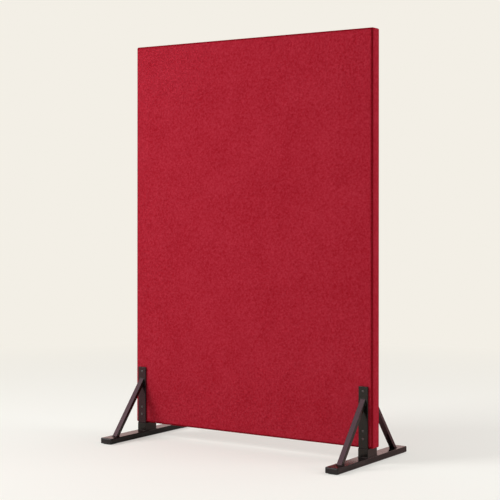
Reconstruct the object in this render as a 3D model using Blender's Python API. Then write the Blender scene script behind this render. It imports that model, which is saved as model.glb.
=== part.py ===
"""Freestanding partition: a felt-covered panel clamped between two braced steel feet.

Metres, +Z up. X runs along the panel, -Y is the front, and the origin lies on the floor
under the middle of the panel. Each piece is its own object, named as a person would name it.
"""
import math

import bmesh
import bpy
from mathutils import Vector

# Fits between pieces
SEAT_GAP = 0.0003
CUT_OVERRUN = 0.010

# Panel, outside
PANEL_WIDTH = 0.900
PANEL_HEIGHT = 1.255
PANEL_THICKNESS = 0.0465
PANEL_EDGE_RADIUS = 0.008
PANEL_CORNER_RADIUS = 0.004

# Panel, layers from outside to inside
FELT_THICKNESS = 0.0015
BOARD_THICKNESS = 0.003
REBATE_WIDTH = 0.020

# Panel, timber frame
SCREW_LAND = 0.011
TOP_RAIL_HEIGHT = 0.045
MIDDLE_RAIL_HEIGHT = 0.045
BOTTOM_RAIL_HEIGHT = 0.070
TENON_LENGTH = 0.016
TENON_THICKNESS = 0.012
TENON_SHOULDER = 0.010

# Feet: the rail on the floor and what closes and carries it
FOOT_INSET = 0.029
RAIL_LENGTH = 0.428
RAIL_WIDTH = 0.044
RAIL_HEIGHT = 0.018
RAIL_WALL = 0.002
RAIL_OUTER_RADIUS = 0.002
RAIL_INNER_RADIUS = 0.0008
CAP_HEAD = 0.005
CAP_EDGE = 0.004
CAP_STEM = 0.014
PAD_THICKNESS = 0.0017
PAD_LENGTH = 0.034
PAD_SIDE_INSET = 0.0065
PAD_END_INSET = 0.006
PAD_CORNER_RADIUS = 0.004
PAD_EDGE = 0.0004

# Feet: the riser between rail and panel
RISER_LEDGE = 0.005
RISER_HEIGHT = 0.0259
RISER_WALL = 0.0025
RISER_OUTER_RADIUS = 0.0015
RISER_INNER_RADIUS = 0.0005

# Feet: the flat bars on the panel's faces, and the braces that prop them
UPRIGHT_LEDGE = 0.0015
UPRIGHT_THICKNESS = 0.005
UPRIGHT_HEIGHT = 0.185
UPRIGHT_EDGE = 0.0008
BRACE_WIDTH = 0.018
BRACE_THICKNESS = 0.012
BRACE_EDGE = 0.0011
BRACE_TOP_DROP = 0.037
BRACE_TOE_INSET = 0.0425
WELD_LEG = 0.0013

# Countersunk screws through the uprights into the frame
SCREW_FIRST_RISE = 0.028
SCREW_PITCH = 0.024
SCREW_TOP_DROP = 0.014
SCREW_HEAD_RADIUS = 0.0037
SCREW_HEAD_DOME = 0.0004
SCREW_SHANK_RADIUS = 0.0018
SCREW_TIP_RADIUS = 0.0004
SCREW_TIP_LENGTH = 0.004
SCREW_TIP_CLEARANCE = 0.003
RECESS_WIDTH = 0.0008
RECESS_LENGTH = 0.0036
RECESS_DEPTH = 0.0012

# How finely round shapes are divided
CORNER_STEPS = 3
ARRIS_STEPS = 3
SCREW_SIDES = 16
SMOOTH_ANGLE = math.radians(40)

# Shares of the piece that carries them
MIDDLE_RAIL_SHARE = 0.5
DOME_SHARES = ((0.15, 1.0), (0.70, 0.55))

# Places that follow from the sizes
SEAM_ANGLE = math.radians(45)
SEAM_HALF_ANGLE = math.asin(SEAT_GAP / 2 / (PANEL_EDGE_RADIUS - FELT_THICKNESS))
FOOT_X = PANEL_WIDTH / 2 - FOOT_INSET
RAIL_BOTTOM = PAD_THICKNESS + SEAT_GAP
RAIL_TOP = RAIL_BOTTOM + RAIL_HEIGHT
RISER_BOTTOM = RAIL_TOP + SEAT_GAP
RISER_TOP = RISER_BOTTOM + RISER_HEIGHT
PANEL_BOTTOM = RISER_TOP + SEAT_GAP
CORE_INSET = FELT_THICKNESS + SEAT_GAP
CORE_HALF_DEPTH = PANEL_THICKNESS / 2 - CORE_INSET
INFILL_HALF_DEPTH = CORE_HALF_DEPTH - BOARD_THICKNESS - SEAT_GAP
STILE_OUTER_X = PANEL_WIDTH / 2 - CORE_INSET
STILE_INNER_X = FOOT_X - SCREW_LAND - REBATE_WIDTH
BOARD_HALF_WIDTH = STILE_INNER_X + REBATE_WIDTH - SEAT_GAP
FRAME_TOP = PANEL_HEIGHT - CORE_INSET
TOP_RAIL_LOW = FRAME_TOP - TOP_RAIL_HEIGHT
BOTTOM_RAIL_HIGH = CORE_INSET + BOTTOM_RAIL_HEIGHT
MIDDLE_RAIL_LOW = (
    BOTTOM_RAIL_HIGH
    + MIDDLE_RAIL_SHARE * (TOP_RAIL_LOW - BOTTOM_RAIL_HIGH - MIDDLE_RAIL_HEIGHT)
)
MIDDLE_RAIL_HIGH = MIDDLE_RAIL_LOW + MIDDLE_RAIL_HEIGHT
BOARD_LOW = BOTTOM_RAIL_HIGH - REBATE_WIDTH + SEAT_GAP
BOARD_HIGH = TOP_RAIL_LOW + REBATE_WIDTH - SEAT_GAP
UPRIGHT_INNER_Y = PANEL_THICKNESS / 2 + SEAT_GAP
UPRIGHT_OUTER_Y = UPRIGHT_INNER_Y + UPRIGHT_THICKNESS
RISER_WIDTH = RAIL_WIDTH - 2 * RISER_LEDGE
RISER_DEPTH = 2 * UPRIGHT_OUTER_Y
UPRIGHT_WIDTH = RISER_WIDTH - 2 * UPRIGHT_LEDGE
UPRIGHT_TOP = PANEL_BOTTOM + UPRIGHT_HEIGHT
SCREW_HEIGHTS = (
    PANEL_BOTTOM + SCREW_FIRST_RISE,
    PANEL_BOTTOM + SCREW_FIRST_RISE + SCREW_PITCH,
    UPRIGHT_TOP - SCREW_TOP_DROP,
)
SCREW_LENGTH = UPRIGHT_OUTER_Y - SCREW_TIP_CLEARANCE

# Finishes: base colour, roughness, metallic
FELT = ((0.36, 0.018, 0.033), 0.95, 0.0)
HARDBOARD = ((0.24, 0.13, 0.07), 0.80, 0.0)
SOFTWOOD = ((0.58, 0.41, 0.23), 0.65, 0.0)
INFILL = ((0.66, 0.60, 0.46), 0.90, 0.0)
COATED_STEEL = ((0.036, 0.027, 0.027), 0.38, 0.0)
BLACK_PLASTIC = ((0.024, 0.020, 0.020), 0.45, 0.0)
BLACK_RUBBER = ((0.012, 0.012, 0.012), 0.85, 0.0)
DARK_ZINC = ((0.15, 0.13, 0.13), 0.35, 0.8)


def clear_scene():
    """Removes whatever objects the open scene holds."""
    for thing in list(bpy.data.objects):
        bpy.data.objects.remove(thing, do_unlink=True)


# Building blocks

def empty(name, parent=None, location=(0, 0, 0), turn=0):
    """A plain axes empty that carries the pieces of one sub-assembly."""
    carrier = bpy.data.objects.new(name, None)
    bpy.context.scene.collection.objects.link(carrier)
    carrier.parent = parent
    carrier.location = location
    carrier.rotation_euler = (0, 0, turn)
    return carrier


def piece(name, skin, parent, finish):
    """Turns a bmesh into an object with its own material, under its carrier."""
    bmesh.ops.recalc_face_normals(skin, faces=skin.faces)
    mesh = bpy.data.meshes.new(name)
    skin.to_mesh(mesh)
    skin.free()
    mesh.shade_smooth()
    mesh.set_sharp_from_angle(angle=SMOOTH_ANGLE)
    thing = bpy.data.objects.new(name, mesh)
    bpy.context.scene.collection.objects.link(thing)
    thing.parent = parent
    if finish:
        mesh.materials.append(material(name, finish))
    return thing


def material(name, finish):
    """One Principled material from a finish's colour, roughness and metallic value."""
    colour, roughness, metallic = finish
    made = bpy.data.materials.new(name)
    made.use_nodes = True
    shader = made.node_tree.nodes["Principled BSDF"]
    shader.inputs["Base Color"].default_value = (*colour, 1)
    shader.inputs["Roughness"].default_value = roughness
    shader.inputs["Metallic"].default_value = metallic
    return made


def cutter(name, skin, parent):
    """A guide solid that only shapes other pieces."""
    tool = piece(name, skin, parent, None)
    tool.hide_render = True
    tool.display_type = "WIRE"
    return tool


def shape_with(target, tool, operation="DIFFERENCE"):
    """Cuts the target with a tool, or keeps only what the tool holds."""
    change = target.modifiers.new(tool.name, "BOOLEAN")
    change.operation = operation
    change.object = tool
    change.solver = "EXACT"


def ease_edges(target, width, segments=2):
    """Rounds every sharp edge of a piece."""
    edge = target.modifiers.new("eased_edges", "BEVEL")
    edge.width = width
    edge.segments = segments
    edge.limit_method = "ANGLE"
    edge.angle_limit = SMOOTH_ANGLE


def add_loft(skin, rings, closed=False):
    """Skins rings of equally many points; an open skin gets a flat cap at each end."""
    loops = [[skin.verts.new(point) for point in ring] for ring in rings]
    pairs = list(zip(loops, loops[1:]))
    if closed:
        pairs.append((loops[-1], loops[0]))
    else:
        skin.faces.new(loops[0])
        skin.faces.new(loops[-1])
    for one, other in pairs:
        for here in range(len(one)):
            following = (here + 1) % len(one)
            skin.faces.new((one[here], one[following], other[following], other[here]))


def loft(rings, closed=False):
    """A new skin through rings of points."""
    skin = bmesh.new()
    add_loft(skin, rings, closed)
    return skin


def add_box(skin, low, high):
    """Adds a box between two corners."""
    outline = ((low[0], low[1]), (high[0], low[1]), (high[0], high[1]), (low[0], high[1]))
    add_loft(skin, [[(x, y, z) for x, y in outline] for z in (low[2], high[2])])


def box(low, high):
    """A new box between two corners."""
    skin = bmesh.new()
    add_box(skin, low, high)
    return skin


def rounded_outline(width, height, radius):
    """A rectangle about the origin with round corners, as pairs, anticlockwise."""
    signs = ((1, 1), (-1, 1), (-1, -1), (1, -1))
    points = []
    for quarter, (side, end) in enumerate(signs):
        for step in range(CORNER_STEPS + 1):
            angle = math.pi / 2 * (quarter + step / CORNER_STEPS)
            across = side * (width / 2 - radius) + radius * math.cos(angle)
            along = end * (height / 2 - radius) + radius * math.sin(angle)
            points.append((across, along))
    return points


def circle(radius, sides):
    """A regular outline about the origin, as pairs."""
    turns = [2 * math.pi * step / sides for step in range(sides)]
    return [(radius * math.cos(turn), radius * math.sin(turn)) for turn in turns]


def add_turned(skin, profile, sides, height):
    """Adds a solid turned about a line along Y; its profile gives (radius, distance)."""
    rings = []
    for radius, distance in profile:
        rings.append([(x, distance, z + height) for x, z in circle(radius, sides)])
    add_loft(skin, rings)


# Panel

def panel_ring(inset, y):
    """The panel's outline seen from the front, drawn in by an inset, at one depth."""
    outline = rounded_outline(
        PANEL_WIDTH - 2 * inset, PANEL_HEIGHT - 2 * inset, PANEL_CORNER_RADIUS
    )
    return [(x, y, z + PANEL_HEIGHT / 2) for x, z in outline]


def arris_rings(depth_inside, start, stop, front):
    """Rings round one arris from angle start to stop, measured from the face's normal."""
    radius = PANEL_EDGE_RADIUS - depth_inside
    rings = []
    for step in range(ARRIS_STEPS + 1):
        angle = start + (stop - start) * step / ARRIS_STEPS
        inset = PANEL_EDGE_RADIUS - radius * math.sin(angle)
        depth = PANEL_EDGE_RADIUS - radius * math.cos(angle)
        y = PANEL_THICKNESS / 2 - depth
        rings.append(panel_ring(inset, -y if front else y))
    return rings


def face_felt(name, carrier, front):
    """The felt on one face, turned over the arris as far as the seam."""
    seam = SEAM_ANGLE - SEAM_HALF_ANGLE
    outside = arris_rings(0, 0, seam, front)
    inside = arris_rings(FELT_THICKNESS, seam, 0, front)
    return piece(name, loft(outside + inside), carrier, FELT)


def edge_felt(carrier):
    """The felt band round the four edges, seam to seam."""
    seam = SEAM_ANGLE + SEAM_HALF_ANGLE
    side = math.pi / 2
    outside = arris_rings(0, seam, side, True) + arris_rings(0, side, seam, False)
    inside = (
        arris_rings(FELT_THICKNESS, seam, side, False)
        + arris_rings(FELT_THICKNESS, side, seam, True)
    )
    return piece("edge_felt", loft(outside + inside, closed=True), carrier, FELT)


def board(name, carrier, side):
    """The thin board that closes one face of the frame, let into the rebates."""
    outer = side * CORE_HALF_DEPTH
    inner = side * (CORE_HALF_DEPTH - BOARD_THICKNESS)
    low = (-BOARD_HALF_WIDTH, min(outer, inner), BOARD_LOW)
    high = (BOARD_HALF_WIDTH, max(outer, inner), BOARD_HIGH)
    return piece(name, box(low, high), carrier, HARDBOARD)


def frame_envelope(carrier):
    """The whole frame's outside, with the arrises that the felt is pulled over."""
    quarter = math.pi / 2
    front = arris_rings(CORE_INSET, 0, quarter, True)
    rear = arris_rings(CORE_INSET, quarter, 0, False)
    return cutter("frame_envelope", loft(front + rear), carrier)


def rebate_cutter(carrier):
    """The room for both boards."""
    skin = bmesh.new()
    reach = BOARD_HALF_WIDTH + SEAT_GAP
    for side in (-1, 1):
        outer = side * (CORE_HALF_DEPTH + CUT_OVERRUN)
        inner = side * INFILL_HALF_DEPTH
        low = (-reach, min(outer, inner), BOARD_LOW - SEAT_GAP)
        high = (reach, max(outer, inner), BOARD_HIGH + SEAT_GAP)
        add_box(skin, low, high)
    return cutter("board_rebates", skin, carrier)


def cross_member_skin(low, high, half_depth, grow=0):
    """A bar from stile to stile with a tenon at each end, between two heights."""
    shoulder_x = STILE_INNER_X - SEAT_GAP
    tenon_x = STILE_INNER_X + TENON_LENGTH + grow
    tenon_y = TENON_THICKNESS / 2 + grow
    tenon_low = low + TENON_SHOULDER - grow
    tenon_high = high - TENON_SHOULDER + grow
    body = ((-half_depth, low), (half_depth, low), (half_depth, high), (-half_depth, high))
    tenon = (
        (-tenon_y, tenon_low), (tenon_y, tenon_low), (tenon_y, tenon_high), (-tenon_y, tenon_high),
    )
    stations = (
        (-tenon_x, tenon), (-shoulder_x, tenon), (-shoulder_x, body),
        (shoulder_x, body), (shoulder_x, tenon), (tenon_x, tenon),
    )
    return loft([[(x, y, z) for y, z in outline] for x, outline in stations])


def cross_members():
    """Name, lower and upper height of each cross member."""
    return (
        ("bottom_rail", CORE_INSET, BOTTOM_RAIL_HIGH),
        ("middle_rail", MIDDLE_RAIL_LOW, MIDDLE_RAIL_HIGH),
        ("top_rail", TOP_RAIL_LOW, FRAME_TOP),
    )


def mortise_cutters(carrier):
    """The sockets for the tenons, one cutter for each cross member."""
    cutters = []
    for name, low, high in cross_members():
        skin = cross_member_skin(low, high, CORE_HALF_DEPTH, SEAT_GAP)
        cutters.append(cutter(name + "_mortises", skin, carrier))
    return cutters


def infill(name, carrier, low, high):
    """The light filling between the boards, from one cross member to the next."""
    reach = STILE_INNER_X - SEAT_GAP
    skin = box(
        (-reach, -INFILL_HALF_DEPTH, low + SEAT_GAP), (reach, INFILL_HALF_DEPTH, high - SEAT_GAP)
    )
    return piece(name, skin, carrier, INFILL)


def stile(name, carrier, side, tools):
    """The upright of the frame above one foot."""
    past_depth = CORE_HALF_DEPTH + CUT_OVERRUN
    ends = sorted((side * STILE_INNER_X, side * (STILE_OUTER_X + CUT_OVERRUN)))
    low = (ends[0], -past_depth, CORE_INSET - CUT_OVERRUN)
    high = (ends[1], past_depth, FRAME_TOP + CUT_OVERRUN)
    upright_member = piece(name, box(low, high), carrier, SOFTWOOD)
    shape_with(upright_member, tools[0], "INTERSECT")
    for tool in tools[1:]:
        shape_with(upright_member, tool)


def build_panel(screw_holes):
    """The covered panel. screw_holes lists the cutters of the left and of the right foot."""
    carrier = empty("panel", location=(0, 0, PANEL_BOTTOM))
    envelope = frame_envelope(carrier)
    rebates = rebate_cutter(carrier)
    mortises = mortise_cutters(carrier)
    stile("left_stile", carrier, -1, [envelope, rebates, *mortises, *screw_holes[0]])
    stile("right_stile", carrier, 1, [envelope, rebates, *mortises, *screw_holes[1]])

    past_depth = CORE_HALF_DEPTH + CUT_OVERRUN
    for name, low, high in cross_members():
        at_edge = name != "middle_rail"
        half_depth = past_depth if at_edge else INFILL_HALF_DEPTH
        member = piece(name, cross_member_skin(low, high, half_depth), carrier, SOFTWOOD)
        if at_edge:
            shape_with(member, envelope, "INTERSECT")
            shape_with(member, rebates)
    infill("lower_core", carrier, BOTTOM_RAIL_HIGH, MIDDLE_RAIL_LOW)
    infill("upper_core", carrier, MIDDLE_RAIL_HIGH, TOP_RAIL_LOW)

    board("front_board", carrier, -1)
    board("rear_board", carrier, 1)
    front_felt = face_felt("front_felt", carrier, True)
    rear_felt = face_felt("rear_felt", carrier, False)
    for foot_cutters in screw_holes:
        shape_with(front_felt, foot_cutters[0])
        shape_with(rear_felt, foot_cutters[1])
    edge_felt(carrier)


# Feet

def ring_along_y(outline, y, height):
    """An outline placed upright at one depth, about a given height."""
    return [(x, y, z + height) for x, z in outline]


def ring_along_z(outline, z, centre_y=0):
    """An outline laid flat at one height."""
    return [(x, y + centre_y, z) for x, y in outline]


def base_tube(name, carrier):
    """The flat rectangular tube on the floor, open at both ends for its caps."""
    half = RAIL_LENGTH / 2 - CAP_HEAD - SEAT_GAP
    middle = RAIL_BOTTOM + RAIL_HEIGHT / 2
    outer = rounded_outline(RAIL_WIDTH, RAIL_HEIGHT, RAIL_OUTER_RADIUS)
    inner = rounded_outline(
        RAIL_WIDTH - 2 * RAIL_WALL, RAIL_HEIGHT - 2 * RAIL_WALL, RAIL_INNER_RADIUS
    )
    order = ((outer, -half), (outer, half), (inner, half), (inner, -half))
    rings = [ring_along_y(outline, y, middle) for outline, y in order]
    return piece(name, loft(rings, closed=True), carrier, COATED_STEEL)


def end_cap(name, carrier):
    """The plug that closes the front end of the tube, with a rounded face."""
    middle = RAIL_BOTTOM + RAIL_HEIGHT / 2
    head_back = -(RAIL_LENGTH / 2 - CAP_HEAD)
    stem_end = head_back + CAP_STEM
    shrink = 2 * (RAIL_WALL + SEAT_GAP)
    stem = rounded_outline(RAIL_WIDTH - shrink, RAIL_HEIGHT - shrink, RAIL_INNER_RADIUS)
    rings = [ring_along_y(stem, stem_end, middle), ring_along_y(stem, head_back, middle)]
    full = rounded_outline(RAIL_WIDTH, RAIL_HEIGHT, RAIL_OUTER_RADIUS)
    rings.append(ring_along_y(full, head_back, middle))
    for step in range(ARRIS_STEPS + 1):
        angle = math.pi / 2 * step / ARRIS_STEPS
        inset = CAP_EDGE * (1 - math.cos(angle))
        y = -RAIL_LENGTH / 2 + CAP_EDGE * (1 - math.sin(angle))
        width = RAIL_WIDTH - 2 * inset
        outline = rounded_outline(width, RAIL_HEIGHT - 2 * inset, RAIL_OUTER_RADIUS)
        rings.append(ring_along_y(outline, y, middle))
    return piece(name, loft(rings), carrier, BLACK_PLASTIC)


def floor_pad(name, carrier):
    """The thin pad under the front end of the rail."""
    centre_y = -RAIL_LENGTH / 2 + PAD_END_INSET + PAD_LENGTH / 2
    width = RAIL_WIDTH - 2 * PAD_SIDE_INSET
    levels = ((PAD_EDGE, 0), (0, PAD_EDGE), (0, PAD_THICKNESS))
    rings = []
    for inset, z in levels:
        outline = rounded_outline(width - 2 * inset, PAD_LENGTH - 2 * inset, PAD_CORNER_RADIUS)
        rings.append(ring_along_z(outline, z, centre_y))
    return piece(name, loft(rings), carrier, BLACK_RUBBER)


def riser_tube(name, carrier):
    """The short upright tube that lifts the panel off the rail."""
    outer = rounded_outline(RISER_WIDTH, RISER_DEPTH, RISER_OUTER_RADIUS)
    inner = rounded_outline(
        RISER_WIDTH - 2 * RISER_WALL, RISER_DEPTH - 2 * RISER_WALL, RISER_INNER_RADIUS
    )
    order = ((outer, RISER_BOTTOM), (outer, RISER_TOP), (inner, RISER_TOP), (inner, RISER_BOTTOM))
    rings = [ring_along_z(outline, z) for outline, z in order]
    return piece(name, loft(rings, closed=True), carrier, COATED_STEEL)


def screw_profile(grow, overrun):
    """A countersunk screw's profile from head to tip, or its hole's if it is grown."""
    head = SCREW_HEAD_RADIUS + grow
    shank = SCREW_SHANK_RADIUS + grow
    face = -UPRIGHT_OUTER_Y
    cone = SCREW_HEAD_RADIUS - SCREW_SHANK_RADIUS
    tip = face + SCREW_LENGTH + grow
    if overrun:
        crown = [(head, face - overrun)]
    else:
        crown = [(share * head, face - SCREW_HEAD_DOME * lift) for share, lift in DOME_SHARES]
    body = [(head, face), (shank, face + cone), (shank, tip - SCREW_TIP_LENGTH)]
    return crown + body + [(SCREW_TIP_RADIUS + grow, tip)]


def screw_hole_cutter(name, carrier):
    """The holes for the three screws of one upright."""
    skin = bmesh.new()
    for z in SCREW_HEIGHTS:
        add_turned(skin, screw_profile(SEAT_GAP, CUT_OVERRUN), SCREW_SIDES, z)
    return cutter(name, skin, carrier)


def recess_cutter(name, carrier):
    """The cross recess in a screw's head."""
    face = -UPRIGHT_OUTER_Y
    arm = RECESS_LENGTH / 2
    half = RECESS_WIDTH / 2
    outline = (
        (arm, half), (half, half), (half, arm), (-half, arm), (-half, half), (-arm, half),
        (-arm, -half), (-half, -half), (-half, -arm), (half, -arm), (half, -half), (arm, -half),
    )
    depths = (face - CUT_OVERRUN, face + RECESS_DEPTH)
    return cutter(name, loft([ring_along_y(outline, y, 0) for y in depths]), carrier)


def panel_screws(name, carrier):
    """The three screws that clamp an upright to the panel."""
    for place, z in zip(("lower", "middle", "upper"), SCREW_HEIGHTS):
        seat = empty(f"{name}_{place}_screw_seat", parent=carrier, location=(0, 0, z))
        skin = bmesh.new()
        add_turned(skin, screw_profile(0, 0), SCREW_SIDES, 0)
        screw = piece(f"{name}_{place}_screw", skin, seat, DARK_ZINC)
        shape_with(screw, recess_cutter(f"{name}_{place}_recess", seat))


def upright(name, carrier, hole_cutter):
    """The flat bar on the panel's face, standing on the riser's edge."""
    low = (-UPRIGHT_WIDTH / 2, -UPRIGHT_OUTER_Y, PANEL_BOTTOM)
    high = (UPRIGHT_WIDTH / 2, -UPRIGHT_INNER_Y, UPRIGHT_TOP)
    bar = piece(name, box(low, high), carrier, COATED_STEEL)
    ease_edges(bar, UPRIGHT_EDGE)
    shape_with(bar, hole_cutter)
    return bar


def brace_corners():
    """The brace's side view as (y, z): outer toe, outer top, inner top, inner toe."""
    toe = Vector((-(RAIL_LENGTH / 2 - BRACE_TOE_INSET), RAIL_TOP + SEAT_GAP))
    top = Vector((-(UPRIGHT_OUTER_Y + SEAT_GAP), UPRIGHT_TOP - BRACE_TOP_DROP))
    run = top - toe
    lean = math.atan2(run.x, run.y)
    inner_top = top - Vector((0, BRACE_THICKNESS / math.sin(lean)))
    inner_toe = toe + Vector((BRACE_THICKNESS / math.cos(lean), 0))
    return toe, top, inner_top, inner_toe


def brace(name, carrier):
    """The slanting bar from the rail to the upright, cut level below and plumb above."""
    corners = brace_corners()
    rings = [[(x, y, z) for y, z in corners] for x in (-BRACE_WIDTH / 2, BRACE_WIDTH / 2)]
    bar = piece(name, loft(rings), carrier, COATED_STEEL)
    ease_edges(bar, BRACE_EDGE)
    return bar


def brace_weld(name, carrier, at_toe):
    """The fillet weld round three sides of a brace, at its toe or at its top."""
    toe, top, inner_top, inner_toe = brace_corners()
    axis = (top - toe).normalized()
    if at_toe:
        inner, outer = inner_toe, toe
        outward = Vector((-1, 0))
        along_brace = axis * WELD_LEG
        clearance = SEAT_GAP / axis.y
    else:
        inner, outer = inner_top, top
        outward = Vector((0, 1))
        along_brace = -axis * WELD_LEG
        clearance = SEAT_GAP / axis.x
    half = BRACE_WIDTH / 2 + SEAT_GAP
    at_corner = outer + outward * clearance
    stations = (
        (-half, inner, 0), (-half, at_corner, 1), (half, at_corner, 1), (half, inner, 0),
    )
    rings = []
    for x, root, turned_corner in stations:
        side = math.copysign(WELD_LEG, x)
        spread = root + outward * WELD_LEG * turned_corner
        rise = root + along_brace
        rings.append([(x, *root), (x + side, *spread), (x, *rise)])
    return piece(name, loft(rings), carrier, COATED_STEEL)


def riser_weld(name, carrier):
    """The fillet weld round the riser's base."""
    rings = []
    for offset, z in ((0, 0), (WELD_LEG, 0), (0, WELD_LEG)):
        grown = 2 * (SEAT_GAP + offset)
        radius = RISER_OUTER_RADIUS + SEAT_GAP + offset
        outline = rounded_outline(RISER_WIDTH + grown, RISER_DEPTH + grown, radius)
        rings.append(ring_along_z(outline, RISER_BOTTOM + z))
    return piece(name, loft(rings, closed=True), carrier, COATED_STEEL)


def build_foot(side_name, x):
    """One foot, front and rear alike. Returns the cutters of its screw holes."""
    foot = empty(side_name + "_foot", location=(x, 0, 0))
    base_tube(side_name + "_base_tube", foot)
    riser_tube(side_name + "_riser_tube", foot)
    riser_weld(side_name + "_riser_weld", foot)
    hole_cutters = []
    for end_name, turn in (("front", 0), ("rear", math.pi)):
        name = side_name + "_" + end_name
        half = empty(name + "_half", parent=foot, turn=turn)
        holes = screw_hole_cutter(name + "_screw_holes", half)
        upright(name + "_upright", half, holes)
        brace(name + "_brace", half)
        brace_weld(name + "_toe_weld", half, at_toe=True)
        brace_weld(name + "_top_weld", half, at_toe=False)
        end_cap(name + "_end_cap", half)
        floor_pad(name + "_floor_pad", half)
        panel_screws(name, half)
        hole_cutters.append(holes)
    return hole_cutters


def main():
    """Builds both feet, then the panel that their screws reach into."""
    clear_scene()
    screw_holes = [build_foot("left", -FOOT_X), build_foot("right", FOOT_X)]
    build_panel(screw_holes)


main()
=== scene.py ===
"""Looks of a freestanding felt partition on two braced steel feet.

Everything is in metres, +Z up. X runs along the panel and -Y is its front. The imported
frame gives every place; the sizes below are those of the fine surfaces built on it.
"""
import logging
import math
from collections.abc import Sequence
from dataclasses import dataclass
from enum import Enum

import bmesh
import bpy
from mathutils import Euler, Matrix, Vector, noise


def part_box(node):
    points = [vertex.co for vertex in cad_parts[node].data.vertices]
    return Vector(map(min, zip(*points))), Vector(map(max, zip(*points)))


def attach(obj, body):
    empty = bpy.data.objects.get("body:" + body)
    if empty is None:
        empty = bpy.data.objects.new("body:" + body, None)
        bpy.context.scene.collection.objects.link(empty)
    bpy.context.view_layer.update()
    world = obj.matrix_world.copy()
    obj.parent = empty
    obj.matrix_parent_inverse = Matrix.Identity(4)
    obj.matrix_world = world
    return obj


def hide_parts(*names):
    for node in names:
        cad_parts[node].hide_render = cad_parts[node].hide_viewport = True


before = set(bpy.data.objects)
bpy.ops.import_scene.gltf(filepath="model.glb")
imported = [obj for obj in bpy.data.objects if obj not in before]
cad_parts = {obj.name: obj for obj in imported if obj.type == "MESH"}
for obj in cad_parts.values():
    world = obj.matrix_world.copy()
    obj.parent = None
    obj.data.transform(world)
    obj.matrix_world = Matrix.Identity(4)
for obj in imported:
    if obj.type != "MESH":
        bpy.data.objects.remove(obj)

LOG = logging.getLogger("partition")
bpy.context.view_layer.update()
BODY = "root"
PAINTED_SHADE = "painted_shade"  # the float attribute that gives the felt its painted shade along the seams
QUARTER = math.pi / 2
SHARP = math.radians(30)  # an edge that bends more than this is bevelled
NOISE_SPAN = (0.3, 0.7)  # the range that a noise value mostly fills
FULL_SPAN = (-1.0, 1.0)
MASK_SPAN = (0.0, 1.0)

Point = tuple[float, float, float]
Flat = tuple[float, float]
Colour = tuple[float, float, float]
Skin = bmesh.types.BMesh
Ring = list[bmesh.types.BMVert]
Piece = bpy.types.Object
Material = bpy.types.Material
Node = bpy.types.Node
Group = bpy.types.NodeTree
Socket = bpy.types.NodeSocket
Sockets = bpy.types.bpy_prop_collection
Value = Socket | float | Colour
Inputs = dict[str | int, Value]


class NamedChoice(Enum):
    """A choice whose name is part of the nodes' names."""

    @property
    def word(self) -> str:
        """The name as the nodes spell it."""
        return self.name.lower()


class Side(NamedChoice):
    """The two feet, each with the direction of its outer side along X."""

    LEFT = -1
    RIGHT = 1


class End(NamedChoice):
    """The two halves of a foot, each with its direction along Y."""

    FRONT = -1
    REAR = 1


class ScrewPlace(NamedChoice):
    """The screws of one upright, counted from the floor."""

    LOWER = 1
    MIDDLE = 2
    UPPER = 3


class BraceWeld(NamedChoice):
    """The welds of one brace, counted from the floor."""

    TOE_WELD = 1
    TOP_WELD = 2


@dataclass(frozen=True)
class Block:
    """The box of a CAD node at rest.

    Attributes:
        low: Its lowest corner.
        high: Its highest corner.
    """

    low: Vector
    high: Vector

    @classmethod
    def of(cls, node: str) -> "Block":
        """Reads a node's box from the frame."""
        return cls(*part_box(node))

    @property
    def size(self) -> Vector:
        """Its size along each axis."""
        return self.high - self.low

    @property
    def middle(self) -> Vector:
        """Its centre."""
        return (self.low + self.high) / 2

    def face(self, end: End) -> float:
        """The place along Y of its face at one end."""
        return self.low.y if end is End.FRONT else self.high.y


# Mesh building


def object_from(name: str, skin: Skin, sharp_degrees: float = 40.0) -> Piece:
    """Turns a bmesh into a smooth shaded object.

    Args:
        name: The object's name.
        skin: The bmesh, which is freed.
        sharp_degrees: Edges that bend more than this stay sharp.

    Returns:
        The new object, linked to the scene.
    """
    bmesh.ops.recalc_face_normals(skin, faces=skin.faces)
    mesh = bpy.data.meshes.new(name)
    skin.to_mesh(mesh)
    skin.free()
    mesh.shade_smooth()
    mesh.set_sharp_from_angle(angle=math.radians(sharp_degrees))
    made = bpy.data.objects.new(name, mesh)
    bpy.context.scene.collection.objects.link(made)
    return made


def bridge(skin: Skin, loops: Sequence[Ring], closed: bool = False) -> None:
    """Joins successive rings with quads.

    Args:
        skin: The bmesh that holds the rings.
        loops: The rings, with equally many vertices each.
        closed: Joins the last ring to the first too.
    """
    pairs = list(zip(loops, loops[1:]))
    if closed:
        pairs.append((loops[-1], loops[0]))
    for one, other in pairs:
        for here in range(len(one)):
            after = (here + 1) % len(one)
            skin.faces.new((one[here], one[after], other[after], other[here]))


def add_loft(skin: Skin, rings: Sequence[Sequence[Point]], closed: bool = False) -> None:
    """Adds a skin through rings of equally many points.

    Args:
        skin: The bmesh to add to.
        rings: The rings, each a list of points in the same order.
        closed: Joins the last ring to the first instead of capping both.
    """
    loops = [[skin.verts.new(point) for point in ring] for ring in rings]
    if not closed:
        skin.faces.new(loops[0])
        skin.faces.new(loops[-1])
    bridge(skin, loops, closed)


def add_turned(skin: Skin, profile: Sequence[Flat], centre: Point, end: End) -> None:
    """Adds a solid turned about a line along Y, pointing into the panel.

    Args:
        skin: The bmesh to add to.
        profile: Radius and depth of each ring.
        centre: The axis's point at depth zero.
        end: The end that the solid faces.
    """
    sides = 32
    turns = [2 * math.pi * step / sides for step in range(sides)]
    x, y, z = centre
    rings = [
        [
            (x + radius * math.cos(turn), y - end.value * depth, z + radius * math.sin(turn))
            for turn in turns
        ]
        for radius, depth in profile
    ]
    add_loft(skin, rings)


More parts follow.
